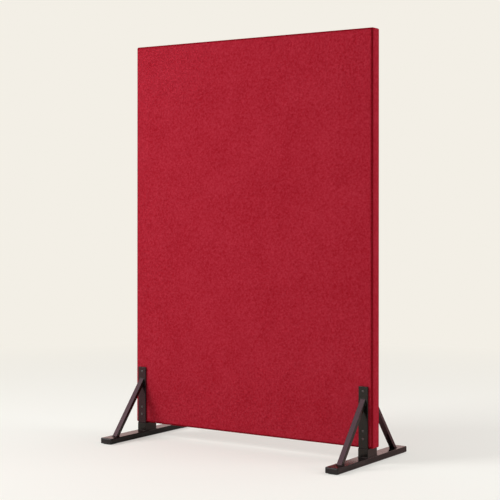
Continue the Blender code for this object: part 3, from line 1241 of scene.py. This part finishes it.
    def _border(self, skin: Skin, grid: list[Ring], ring: Ring) -> None:
        """Joins the grid of a face to the first ring of its rounded edge.

        Args:
            skin: The bmesh that holds both.
            grid: The face's columns of vertices, from left to right.
            ring: The ring, which starts at the lower end of the right side.
        """
        right, left = grid[-1], list(reversed(grid[0]))
        top = [column[-1] for column in reversed(grid)]
        bottom = [column[0] for column in grid]
        at = 0
        for side in (right, top, left, bottom):
            for step in range(len(side) - 1):
                skin.faces.new((side[step], ring[at + step], ring[at + step + 1], side[step + 1]))
            at += len(side)
            for step in range(at - 1, at + self.corner_steps + 1):
                skin.faces.new((side[-1], ring[step], ring[(step + 1) % len(ring)]))
            at += self.corner_steps + 1

    def _thicken(self, sheet: Piece) -> None:
        """Gives a sheet the felt's thickness, inwards.

        Args:
            sheet: The sheet, with the share of thickness left as its vertices' weight.
        """
        thick = sheet.modifiers.new("felt_thickness", "SOLIDIFY")
        thick.vertex_group = sheet.vertex_groups.new(name="thickness").name
        thick.thickness = self.felt
        thick.offset = -1.0
        thick.use_even_offset = True

    def _edge_sheet(self) -> None:
        """Builds the band round the four edges, from seam to seam."""
        seam = self.seam_angle + self.seam_gap / 2 / self.edge_radius
        profile = self._arris(seam, QUARTER)
        front = [(inset, self.front_y + depth, *state) for inset, depth, *state in profile]
        rear = [(inset, self.rear_y - depth, *state) for inset, depth, *state in reversed(profile)]
        between = [
            (0.0, self.front_y + self.edge_radius + share * self.flat_depth)
            for share in (0.25, 0.5, 0.75)
        ]
        skin = bmesh.new()
        loops = [
            self._add_ring(skin, self._outline(inset, y), *state)
            for inset, y, *state in front + between + rear
        ]
        bridge(skin, loops)
        band = object_from("edge_felt_sheet", skin, sharp_degrees=60.0)
        middle = band.data.polygons[len(band.data.polygons) // 2]
        away = Vector(middle.center) - self.centre
        away.y = 0.0
        if middle.normal.dot(away) < 0:
            band.data.flip_normals()
        self._thicken(band)
        dress(band, self.finishes.felt, "felt", "edge_felt")


# The feet


@dataclass(frozen=True)
class Tube:
    """The section of a rectangular tube.

    Attributes:
        radius: Its outer corner radius.
        inner_radius: Its inner corner radius.
        wall: Its wall.
        ease: How far its cut ends are rounded off.
        steps: The divisions of a corner.
    """

    radius: float
    inner_radius: float
    wall: float
    ease: float
    steps: int = 6

    def outlines(self, size: Flat) -> tuple[list[Flat], list[Flat], list[Flat]]:
        """The tube's outlines.

        Args:
            size: Its outer width and height.

        Returns:
            The outline outside, that of an eased end and that of the bore.
        """
        outer = rounded_outline(size, self.radius, self.steps)
        eased = rounded_outline(size, self.radius, self.steps, self.ease)
        bore = rounded_outline(size, self.inner_radius, self.steps, self.wall)
        return outer, eased, bore


@dataclass(frozen=True)
class WeldBead:
    """A rippled fillet weld.

    Attributes:
        leg: Its size along each of the two faces that it joins.
        ripple: Distance between two ripples.
        points: Sections to each ripple.
        swell: The share of its size that comes and goes with the ripples.
        arch: Places across its face, each as a share of the way and its rise over the chord.
    """

    leg: float = 0.0013
    ripple: float = 0.0012
    points: int = 3
    swell: float = 0.10
    arch: tuple[Flat, ...] = ((0.0, 0.0), (0.25, 0.06), (0.5, 0.09), (0.75, 0.06), (1.0, 0.0))

    def steps(self, length: float, least: int) -> int:
        """How many sections a stretch of the weld takes, and no fewer than the least."""
        return max(least, round(length / (self.ripple / self.points)))

    def rings(self, path: Sequence[tuple[Vector, Vector]], rise: Vector) -> list[list[Point]]:
        """Sections along a weld.

        Args:
            path: The root's points and the direction outwards at each.
            rise: The direction of the weld's other leg.

        Returns:
            One ring for each point of the path.
        """
        rings = []
        travelled = 0.0
        before = path[0][0]
        for root, outward in path:
            travelled += (root - before).length
            before = root
            wave = abs(math.sin(math.pi * travelled / self.ripple))
            size = (1 - self.swell) + self.swell * wave
            out_leg = outward * self.leg * size
            up_leg = rise * self.leg * size
            ring = [root]
            for share, lift in self.arch:
                chord = out_leg * (1 - share) + up_leg * share
                ring.append(root + chord * (1 + lift))
            rings.append([tuple(point) for point in ring])
        return rings


@dataclass(frozen=True)
class CountersunkScrew:
    """A wood screw with a cross recess, and the hole that takes it.

    Attributes:
        shank: Radius of the shank and of the thread's crests.
        core: Radius between the crests, as a share of the shank's.
        crown: Angles of the rings of the domed head, in degrees from its middle.
        rim: Radius under the head's edge, as a share of the head's, and its depth.
        plain: Depth to which the shank is plain.
        thread: Depth at which the thread starts.
        pitch: Distance between two crests.
        unthreaded: The length without thread, at both ends together.
        taper: Length of the point.
        point: Radius of its end.
        recess: Reach of the cross's arms and their depth, at the mouth and at the bottom.
        arm: Half the width of an arm, as a share of its reach.
        hole: Radius and depth of the countersunk hole, from outside inwards.
    """

    shank: float = 0.0018
    core: float = 0.78
    crown: tuple[float, ...] = (6, 24, 42, 60, 76, 90)
    rim: Flat = (0.97, 0.0003)
    plain: float = 0.006
    thread: float = 0.0065
    pitch: float = 0.0016
    unthreaded: float = 0.010
    taper: float = 0.0035
    point: float = 0.0003
    recess: tuple[Flat, ...] = ((0.0021, -0.001), (0.0012, 0.0013))
    arm: float = 0.2
    hole: tuple[Flat, ...] = ((0.0040, -0.004), (0.0040, 0.0), (0.0021, 0.0019), (0.0021, 0.009))

    def profile(self, head: float, dome: float, length: float) -> list[Flat]:
        """The screw's outline from the middle of its head to its point.

        Args:
            head: The head's radius.
            dome: How far the head stands out of the bar.
            length: The screw's length behind the bar's face.

        Returns:
            Radius and depth of each ring.
        """
        angles = [math.radians(degrees) for degrees in self.crown]
        core = self.core * self.shank
        rings = [(head * math.sin(angle), -dome * math.cos(angle)) for angle in angles]
        rings.append((self.rim[0] * head, self.rim[1]))
        rings += [(self.shank, head - self.shank), (self.shank, self.plain)]
        for turn in range(int((length - self.unthreaded) / self.pitch)):
            at = self.thread + turn * self.pitch
            rings += [(core, at), (self.shank, at + 0.5 * self.pitch)]
        return rings + [(core, length - self.taper), (self.point, length)]

    def cross_tool(self, centre: Point, end: End) -> Piece:
        """The tapered cross that is pressed into the head.

        Args:
            centre: The screw's axis at the bar's face.
            end: The end that the head faces.

        Returns:
            The tool, which carve() removes.
        """
        arm = [(1.0, self.arm), (self.arm, self.arm), (self.arm, 1.0)]
        cross: list[Flat] = []
        for _ in range(4):
            cross += arm
            arm = [(-z, x) for x, z in arm]
        skin = bmesh.new()
        rings = [
            [
                (centre[0] + reach * x, centre[1] - end.value * depth, centre[2] + reach * z)
                for x, z in cross
            ]
            for reach, depth in self.recess
        ]
        add_loft(skin, rings)
        return object_from("cross_tool", skin)


@dataclass
class SteelFoot:
    """One foot: rail, plugs, riser, and at both ends an upright, a brace and their fastenings.

    Attributes:
        side: Which foot it is.
        finishes: The object's materials.
        rail_tube: The rail's section.
        riser_tube: The riser's section.
        bar_edge: Rounding of the uprights.
        brace_edge: Rounding of the braces.
        edge_steps: Divisions of these roundings.
        brace_thickness: The braces' thickness square to their length.
        bend: A brace's weld turns over one part in this many of each side at a corner.
        cap_head: Length of a plug's head.
        cap_edge: Rounding of its outer end.
        cap_tuck: How far the head draws in where it meets the rail.
        pad_radius: Corner radius of a pad.
        pad_steps: Divisions of such a corner.
        pad_edge: Inset and height of the rings that round off its underside.
        gap: The clearance of the welds and plugs.
        bead: The form of the welds.
        screw: The form of the screws.
    """

    side: Side
    finishes: Finishes
    rail_tube: Tube = Tube(radius=0.002, inner_radius=0.0008, wall=0.002, ease=0.0004)
    riser_tube: Tube = Tube(radius=0.0015, inner_radius=0.0005, wall=0.0025, ease=0.0010)
    bar_edge: float = 0.0008
    brace_edge: float = 0.0011
    edge_steps: int = 3
    brace_thickness: float = 0.012
    bend: float = 6.0
    cap_head: float = 0.005
    cap_edge: float = 0.004
    cap_tuck: float = 0.0003
    pad_radius: float = 0.004
    pad_steps: int = 8
    pad_edge: tuple[Flat, ...] = ((0.0004, 0.0), (0.0001, 0.00015), (0.0, 0.0004))
    gap: float = 0.0003
    bead: WeldBead = WeldBead()
    screw: CountersunkScrew = CountersunkScrew()

    def __post_init__(self) -> None:
        """Reads the riser's place from the frame."""
        self.riser = Block.of(f"{self.side.word}_riser_tube")

    def node(self, end: End, part: str) -> str:
        """The name of a node at one end of the foot."""
        return f"{self.side.word}_{end.word}_{part}"

    def build(self) -> None:
        """Builds every piece of the foot."""
        self._rail()
        self._riser()
        self._riser_weld()
        for end in End:
            self._upright(end)
            self._brace(end)
            self._end_cap(end)
            self._pad(end)
            for place in ScrewPlace:
                self._screw(end, place)

    @staticmethod
    def _finish(piece: Piece, material: Material, slot: str, node: str) -> None:
        """Dresses a piece, with its flat faces shaded flat up to their rounded edges.

        Args:
            piece: The piece.
            material: Its material.
            slot: The record's material slot.
            node: The CAD node that it replaces.
        """
        evened = piece.modifiers.new("even_faces", "WEIGHTED_NORMAL")
        evened.keep_sharp = True
        dress(piece, material, slot, node)

    def _coated(self, skin: Skin, node: str, steel: Material) -> None:
        """Makes a coated bar or tube that replaces a node out of a skin."""
        self._finish(object_from(f"{node}_coated", skin), steel, "coated_steel", node)

    def _weld(
        self, node: str, path: Sequence[tuple[Vector, Vector]], rise: Vector, closed: bool
    ) -> None:
        """Lays a weld along a path.

        Args:
            node: The CAD node that it replaces.
            path: The root's points and the direction outwards at each.
            rise: The direction of the weld's other leg.
            closed: Whether the path runs back to its start.
        """
        skin = bmesh.new()
        add_loft(skin, self.bead.rings(path, rise), closed)
        bead = object_from(f"{node}_bead", skin, sharp_degrees=50.0)
        self._finish(bead, self.finishes.weld, "coated_steel", node)

    def _rail(self) -> None:
        """Builds the flat tube on the floor."""
        node = f"{self.side.word}_base_tube"
        rail = Block.of(node)
        outer, eased, bore = self.rail_tube.outlines((rail.size.x, rail.size.z))
        half, ease = rail.size.y / 2, self.rail_tube.ease
        stations = (
            (eased, -half), (outer, -half + ease), (outer, half - ease), (eased, half),
            (bore, half), (bore, -half),
        )
        skin = bmesh.new()
        cx, cy, cz = rail.middle
        rings = [[(cx + x, cy + y, cz + z) for x, z in outline] for outline, y in stations]
        add_loft(skin, rings, closed=True)
        # The rail takes the darker, greener copy of the coating, as painted shade.
        self._coated(skin, node, self.finishes.rail_steel)

    def _riser(self) -> None:
        """Builds the short upright tube between the rail and the panel."""
        size, (cx, cy, _) = self.riser.size, self.riser.middle
        outer, eased, bore = self.riser_tube.outlines((size.x, size.y))
        low, high = self.riser.low.z, self.riser.high.z
        stations = (
            (outer, low), (outer, high - self.riser_tube.ease), (eased, high), (bore, high),
            (bore, low),
        )
        skin = bmesh.new()
        rings = [[(cx + x, cy + y, z) for x, y in outline] for outline, z in stations]
        add_loft(skin, rings, closed=True)
        self._coated(skin, f"{self.side.word}_riser_tube", self.finishes.steel)

    def _riser_weld(self) -> None:
        """Lays the weld round the riser's base."""
        node = f"{self.side.word}_riser_weld"
        size, middle = self.riser.size, self.riser.middle
        root_z = Block.of(node).low.z
        radius = self.riser_tube.radius + self.gap
        outline = rounded_outline((size.x, size.y), radius, self.riser_tube.steps, -self.gap)
        loop = [Vector((middle.x + x, middle.y + y, root_z)) for x, y in outline]
        path = []
        for point, after in zip(loop, loop[1:] + loop[:1]):
            count = self.bead.steps((after - point).length, least=1)
            for step in range(count):
                place = point.lerp(after, step / count)
                path.append((place, self._off_riser(place)))
        self._weld(node, path, Vector((0, 0, 1)), closed=True)

    def _off_riser(self, place: Vector) -> Vector:
        """The direction square to the riser's outline.

        Args:
            place: A point beside the riser.

        Returns:
            The direction outwards there.
        """
        size, middle = self.riser.size, self.riser.middle
        nearest = place.copy()
        for axis in (0, 1):
            half = size[axis] / 2 - self.riser_tube.radius
            low, high = middle[axis] - half, middle[axis] + half
            nearest[axis] = min(max(place[axis], low), high)
        return (place - nearest).normalized()

    def _upright(self, end: End) -> None:
        """Builds the flat bar on the panel's face, with its countersunk holes.

        Args:
            end: The end that it stands at.
        """
        node = self.node(end, "upright")
        bar = Block.of(node)
        skin = bmesh.new()
        bmesh.ops.create_cube(skin, size=1.0)
        bmesh.ops.scale(skin, vec=bar.size, verts=skin.verts)
        bmesh.ops.translate(skin, vec=bar.middle, verts=skin.verts)
        bevel_all(skin, self.bar_edge, self.edge_steps)
        piece = object_from(f"{node}_coated", skin)
        holes = bmesh.new()
        for place in ScrewPlace:
            screw = Block.of(self.node(end, f"{place.word}_screw")).middle
            add_turned(holes, self.screw.hole, (screw.x, bar.face(end), screw.z), end)
        carve(piece, object_from("hole_tool", holes))
        # The left uprights take the browner copy of the coating, as a painted reflection.
        steel = self.finishes.browner_steel if self.side is Side.LEFT else self.finishes.steel
        self._finish(piece, steel, "coated_steel", node)

    def _screw(self, end: End, place: ScrewPlace) -> None:
        """Builds one screw.

        Args:
            end: The upright that it holds.
            place: Its place on the upright.
        """
        node = self.node(end, f"{place.word}_screw")
        block = Block.of(node)
        face = Block.of(self.node(end, "upright")).face(end)
        head = (block.high.x - block.low.x) / 2
        dome = abs(face - block.face(end))
        length = block.high.y - block.low.y - dome
        centre = (block.middle.x, face, block.middle.z)
        skin = bmesh.new()
        add_turned(skin, self.screw.profile(head, dome, length), centre, end)
        piece = object_from(f"{node}_zinc", skin, sharp_degrees=30.0)
        carve(piece, self.screw.cross_tool(centre, end))
        self._finish(piece, self.finishes.zinc, "screw", node)

    def _brace(self, end: End) -> None:
        """Builds the slanting bar and the welds at its two ends.

        Args:
            end: The end that it stands at.
        """
        node = self.node(end, "brace")
        block = Block.of(node)
        out = end.value
        toe = Vector((0, block.face(end), block.low.z))
        top = Vector((0, (block.high if end is End.FRONT else block.low).y, block.high.z))
        run = top - toe
        lean = math.atan2(abs(run.y), run.z)
        inner_top = top - Vector((0, 0, self.brace_thickness / math.sin(lean)))
        inner_toe = toe + Vector((0, -out * self.brace_thickness / math.cos(lean), 0))
        skin = bmesh.new()
        corners = (toe, top, inner_top, inner_toe)
        ends = (block.low.x, block.high.x)
        add_loft(skin, [[(x, corner.y, corner.z) for corner in corners] for x in ends])
        bmesh.ops.recalc_face_normals(skin, faces=skin.faces)
        bevel_all(skin, self.brace_edge, self.edge_steps)
        # The rear braces take the browner copy of the coating, as a painted reflection.
        steel = self.finishes.steel if end is End.FRONT else self.finishes.browner_steel
        self._coated(skin, node, steel)
        axis = run.normalized()
        for place in BraceWeld:
            if place is BraceWeld.TOE_WELD:
                inner, outer, outward, along = inner_toe, toe, Vector((0, out, 0)), axis
                clearance = self.gap / axis.z
            else:
                inner, outer, outward, along = inner_top, top, Vector((0, 0, 1)), -axis
                clearance = self.gap / abs(axis.y)
            reach = (block.low.x - self.gap, block.high.x + self.gap)
            path = self._weld_path(inner, outer + outward * clearance, outward, reach)
            self._weld(self.node(end, place.word), path, along, closed=False)

    def _weld_path(
        self, inner: Vector, corner: Vector, outward: Vector, reach: Flat
    ) -> list[tuple[Vector, Vector]]:
        """The root of a weld round three sides of a brace's end.

        Args:
            inner: Where it starts and ends, in side view.
            corner: Where it turns, in side view.
            outward: The direction outwards along the side between the turns.
            reach: The places along X of its two other sides.

        Returns:
            The root's points and the direction outwards at each.
        """
        left, right = Vector((-1, 0, 0)), Vector((1, 0, 0))
        stations = (
            (Vector((reach[0], inner.y, inner.z)), left),
            (Vector((reach[0], corner.y, corner.z)), left + outward),
            (Vector((reach[1], corner.y, corner.z)), right + outward),
            (Vector((reach[1], inner.y, inner.z)), right),
        )
        path = []
        sides = zip(stations, stations[1:], (left, outward, right))
        for (start, start_out), (stop, stop_out), plain in sides:
            count = self.bead.steps((stop - start).length, least=2)
            for step in range(count):
                share = step / count
                near = max(0.0, 1 - self.bend * share)
                far = max(0.0, self.bend * share - (self.bend - 1))
                direction = plain + near * (start_out - plain) + far * (stop_out - plain)
                path.append((start.lerp(stop, share), direction))
        path.append(stations[-1])
        return path

    def _end_cap(self, end: End) -> None:
        """Builds the moulded plug that closes the rail.

        Args:
            end: The end that it closes.
        """
        node = self.node(end, "end_cap")
        block = Block.of(node)
        size, (cx, _, cz) = (block.size.x, block.size.z), block.middle
        tip, out = block.face(end), end.value
        radius, steps = self.rail_tube.radius, self.rail_tube.steps
        clearance = self.rail_tube.wall + self.gap
        stem = rounded_outline(size, self.rail_tube.inner_radius, steps, clearance)
        tucked = rounded_outline(size, radius, steps, self.cap_tuck)
        head_back = tip - out * self.cap_head
        stations = [(stem, tip - out * block.size.y), (stem, head_back), (tucked, head_back)]
        for step in range(steps + 1):
            angle = QUARTER * step / steps
            inset = self.cap_edge * (1 - math.cos(angle))
            y = tip - out * self.cap_edge * (1 - math.sin(angle))
            stations.append((rounded_outline(size, radius, steps, inset), y))
        skin = bmesh.new()
        add_loft(skin, [[(cx + x, y, cz + z) for x, z in outline] for outline, y in stations])
        self._finish(object_from(f"{node}_moulded", skin), self.finishes.plastic, "end_plug", node)

    def _pad(self, end: End) -> None:
        """Builds the rubber pad under the rail's end.

        Args:
            end: The end that it carries.
        """
        node = self.node(end, "floor_pad")
        block = Block.of(node)
        size, (cx, cy, _) = block.size, block.middle
        rings = []
        for inset, height in (*self.pad_edge, (0.0, size.z)):
            outline = rounded_outline((size.x, size.y), self.pad_radius, self.pad_steps, inset)
            rings.append([(cx + x, cy + y, block.low.z + height) for x, y in outline])
        skin = bmesh.new()
        add_loft(skin, rings)
        self._finish(object_from(f"{node}_rubber", skin), self.finishes.rubber, "floor_pad", node)


# The studio


@dataclass(frozen=True)
class SoftLamp:
    """One soft rectangular lamp that points at the object.

    Attributes:
        name: The lamp's name.
        place: The middle of the lamp.
        size: Its width and height.
        power: Its power in watts.
        aim: The point that it faces.
        colour: The colour of its light.
        lights_matt: Whether it lights matt surfaces too, or shows in reflections alone.
    """

    name: str
    place: Point
    size: Flat
    power: float
    aim: Point
    colour: Colour = (1.0, 1.0, 1.0)
    lights_matt: bool = True

    def build(self) -> None:
        """Adds the lamp to the scene."""
        lamp = bpy.data.lights.new(self.name, "AREA")
        lamp.shape = "RECTANGLE"
        lamp.size, lamp.size_y = self.size
        lamp.energy = self.power
        lamp.color = self.colour
        made = bpy.data.objects.new(self.name, lamp)
        made.location = self.place
        ahead = Vector(self.aim) - Vector(self.place)
        made.rotation_euler = ahead.to_track_quat("-Z", "Y").to_euler()
        made.visible_diffuse = self.lights_matt
        bpy.context.collection.objects.link(made)


@dataclass
class Studio:
    """The pale floor, the soft lamps and the camera.

    Attributes:
        pale: The colour of the backdrop.
        floor_pale: The colour of the floor.
        floor_reach: Half the floor's width.
        floor_fade: Distances from the object between which the floor turns into the backdrop.
        floor_glow: The share of the floor's own colour in what the camera sees.
        backdrop_side: The direction in which the backdrop stands.
        backdrop_edge: How far a ray leans that way where the backdrop starts and is full.
        room_light: How bright the room is on the other sides, as reflections show it.
        ambient: The colour of the light from all round.
        ambient_power: The strength of that light.
        lens: The camera's focal length, in millimetres.
        sensor: Its sensor's width, in millimetres.
        far_clip: The greatest distance that it sees.
        eye: The camera's place.
        azimuth: How far the camera looks to the left of the panel's normal.
        roll: The camera's tilt about its line of sight.
        shift: The vertical shift that frames the object.
        lamps: The soft lamps.
    """

    pale: Colour = (0.896, 0.863, 0.791)
    floor_pale: Colour = (0.955, 0.945, 0.898)
    floor_reach: float = 30.0
    floor_fade: Flat = (0.9, 3.2)
    floor_glow: float = 0.46
    backdrop_side: Point = (-0.55, 0.82, 0.12)
    backdrop_edge: Flat = (0.2, 0.9)
    room_light: float = 0.25
    ambient: Colour = (1.0, 0.965, 0.92)
    ambient_power: float = 0.31
    lens: float = 93.65
    sensor: float = 36.0
    far_clip: float = 200.0
    eye: Point = (2.3108, -3.4282, 0.767)
    azimuth: float = math.radians(34.036)
    roll: float = math.radians(0.03)
    shift: float = -0.08654
    lamps: tuple[SoftLamp, ...] = (
        SoftLamp("key", (-2.9, -3.2, 2.7), (2.2, 2.4), 176.0, (0.0, 0.0, 0.75)),
        SoftLamp("side", (3.6, 1.2, 2.2), (2.4, 2.6), 71.0, (0.3, 0.0, 0.65)),
        SoftLamp("back", (1.6, 3.6, 3.0), (2.6, 2.6), 20.0, (0.0, 0.0, 0.65)),
        SoftLamp("top", (-0.4, 0.3, 3.4), (2.6, 2.6), 13.0, (-0.4, 0.3, 0.0)),
        SoftLamp(
            "sheen", (-1.75, -1.15, 2.45), (2.4, 1.0), 23.0, (-1.75, 0.0, 0.1),
            (1.0, 0.62, 0.82), lights_matt=False,
        ),
    )

    def build(self) -> None:
        """Builds floor, world, lamps and camera."""
        self._floor()
        self._world()
        for lamp in self.lamps:
            lamp.build()
        self._camera()

    def _floor(self) -> None:
        """A wide floor whose shade keeps the object's shadow."""
        skin = bmesh.new()
        bmesh.ops.create_grid(skin, x_segments=8, y_segments=8, size=self.floor_reach)
        floor = object_from("studio_floor", skin)
        made = bpy.data.materials.new("studio_floor")
        made.use_nodes = True
        tree = Tree(made.node_tree)
        camera, seen = tree.rays()
        lit = tree.add("ShaderNodeBsdfDiffuse", {"Color": self.floor_pale})
        glow = tree.add("ShaderNodeEmission", {"Color": self.floor_pale})
        far = tree.add("ShaderNodeEmission", {"Color": self.pale})
        near = tree.mixed(tree.times(camera, self.floor_glow), lit, glow)
        place = tree.add("ShaderNodeNewGeometry").outputs["Position"]
        distance = tree.add("ShaderNodeVectorMath", {0: place}, operation="LENGTH")
        fade = tree.spread(distance.outputs["Value"], self.floor_fade, MASK_SPAN)
        surface = tree.mixed(tree.times(fade, seen), near, far)
        tree.add("ShaderNodeOutputMaterial", {"Surface": surface.outputs[0]})
        floor.data.materials.append(made)

    def _world(self) -> None:
        """A pale surround, dimmer as a light than as a sight."""
        world = bpy.data.worlds.new("studio_world")
        world.use_nodes = True
        bpy.context.scene.world = world
        tree = Tree(world.node_tree)
        camera, seen = tree.rays()
        ray = tree.add("ShaderNodeTexCoord").outputs["Generated"]
        facing = tree.add(
            "ShaderNodeVectorMath", {0: ray, 1: self.backdrop_side}, operation="DOT_PRODUCT"
        )
        room = tree.spread(facing.outputs["Value"], self.backdrop_edge, (self.room_light, 1.0))
        shown = tree.greater(room, camera)
        backdrop = tree.add("ShaderNodeBackground", {"Color": self.pale, "Strength": shown})
        light = tree.add(
            "ShaderNodeBackground", {"Color": self.ambient, "Strength": self.ambient_power}
        )
        surface = tree.mixed(seen, light, backdrop)
        tree.add("ShaderNodeOutputWorld", {"Surface": surface.outputs[0]})

    def _camera(self) -> None:
        """The camera at the photograph's viewing angle."""
        camera = bpy.data.cameras.new("camera")
        camera.lens = self.lens
        camera.sensor_width = self.sensor
        camera.shift_y = self.shift
        camera.clip_end = self.far_clip
        made = bpy.data.objects.new("camera", camera)
        bpy.context.scene.collection.objects.link(made)
        made.location = self.eye
        level = Euler((QUARTER, 0.0, self.azimuth)).to_matrix().to_4x4()
        made.rotation_euler = (level @ Matrix.Rotation(self.roll, 4, "Z")).to_euler()
        bpy.context.scene.camera = made


def main() -> None:
    """Builds the panel, both feet and the studio in order."""
    logging.basicConfig(level=logging.INFO, format="%(name)s: %(message)s")
    finishes = Finishes()
    CoveredPanel(finishes).build()
    for side in Side:
        SteelFoot(side, finishes).build()
    Studio().build()
    bpy.context.scene.view_settings.view_transform = "Standard"


if __name__ == "__main__":
    main()
